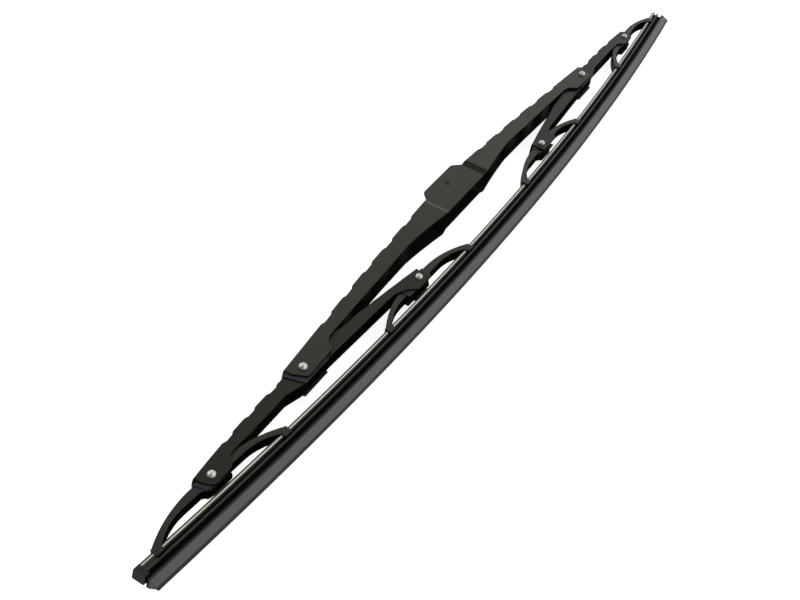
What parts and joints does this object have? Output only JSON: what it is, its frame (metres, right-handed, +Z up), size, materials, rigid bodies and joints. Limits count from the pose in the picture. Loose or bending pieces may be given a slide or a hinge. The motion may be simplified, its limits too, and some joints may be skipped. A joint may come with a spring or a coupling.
{
  "type": "wiper blade",
  "caption": "Wiper blade: a pressed steel bridge and pivoting levers whose claws hold a curved rubber strip with a wiping lip, stiffened by steel splines.",
  "frame": {"origin": "middle of the arm pin, on its axis", "axes": "+X along the blade away from its closed rubber end, +Y from the wiping lip to the back of the bridge, +Z up along the arm pin with the blade on its side"},
  "size_m": [0.5578, 0.0529, 0.0164],
  "materials": {
    "steel": "satin dark grey coat",
    "pin": "dull bare steel",
    "rivet": "bright bare steel",
    "spline": "bright spring steel",
    "rubber": "matt black with a greyish wiping edge",
    "liner": "matt bluish black"
  },
  "bodies": {
    "bridge": {"main_bridge": "steel", "arm_pin": "pin", "left_bridge_rivet": "rivet", "right_bridge_rivet": "rivet", "rubber_blade": "rubber", "upper_spline": "spline", "lower_spline": "spline"},
    "left_lever": {"left_lever": "steel", "left_bridge_liner": "liner", "left_outer_claw_rivet": "rivet", "left_inner_claw_rivet": "rivet"},
    "left_outer_claw": {"left_outer_claw": "steel", "left_outer_claw_liner": "liner"},
    "left_inner_claw": {"left_inner_claw": "steel", "left_inner_claw_liner": "liner"},
    "right_lever": {"right_lever": "steel", "right_bridge_liner": "liner", "right_outer_claw_rivet": "rivet", "right_inner_claw_rivet": "rivet"},
    "right_outer_claw": {"right_outer_claw": "steel", "right_outer_claw_liner": "liner"},
    "right_inner_claw": {"right_inner_claw": "steel", "right_inner_claw_liner": "liner"}
  },
  "joints": [
    {"name": "left_lever_pivot", "type": "hinge", "parent": "bridge", "child": "left_lever", "pos_m": [-0.1578, -0.0134, 0], "axis": [0, 0, 1], "range_deg": [-1.7, 6.3], "stiffness_Nm_per_rad": 1.9, "deforming": ["rubber_blade", "upper_spline", "lower_spline"]},
    {"name": "left_outer_claw_pivot", "type": "hinge", "parent": "left_lever", "child": "left_outer_claw", "pos_m": [-0.2264, -0.01639, 0], "axis": [0, 0, 1], "range_deg": [-0.97, 3.34]},
    {"name": "left_inner_claw_pivot", "type": "hinge", "parent": "left_lever", "child": "left_inner_claw", "pos_m": [-0.0727, -0.0251, 0], "axis": [0, 0, 1], "range_deg": [-3.34, 0.97]},
    {"name": "right_lever_pivot", "type": "hinge", "parent": "bridge", "child": "right_lever", "pos_m": [0.1578, -0.0134, 0], "axis": [0, 0, 1], "range_deg": [-6.3, 1.7]},
    {"name": "right_outer_claw_pivot", "type": "hinge", "parent": "right_lever", "child": "right_outer_claw", "pos_m": [0.2264, -0.01639, 0], "axis": [0, 0, 1], "range_deg": [-3.34, 0.97]},
    {"name": "right_inner_claw_pivot", "type": "hinge", "parent": "right_lever", "child": "right_inner_claw", "pos_m": [0.0727, -0.0251, 0], "axis": [0, 0, 1], "range_deg": [-0.97, 3.34]}
  ],
  "couplings": [
    {"joint": "left_outer_claw_pivot", "follows": "left_lever_pivot", "ratio": 0.5139},
    {"joint": "left_inner_claw_pivot", "follows": "left_lever_pivot", "ratio": -0.5139},
    {"joint": "right_lever_pivot", "follows": "left_lever_pivot", "ratio": -1},
    {"joint": "right_outer_claw_pivot", "follows": "left_lever_pivot", "ratio": -0.5139},
    {"joint": "right_inner_claw_pivot", "follows": "left_lever_pivot", "ratio": 0.5139}
  ]
}
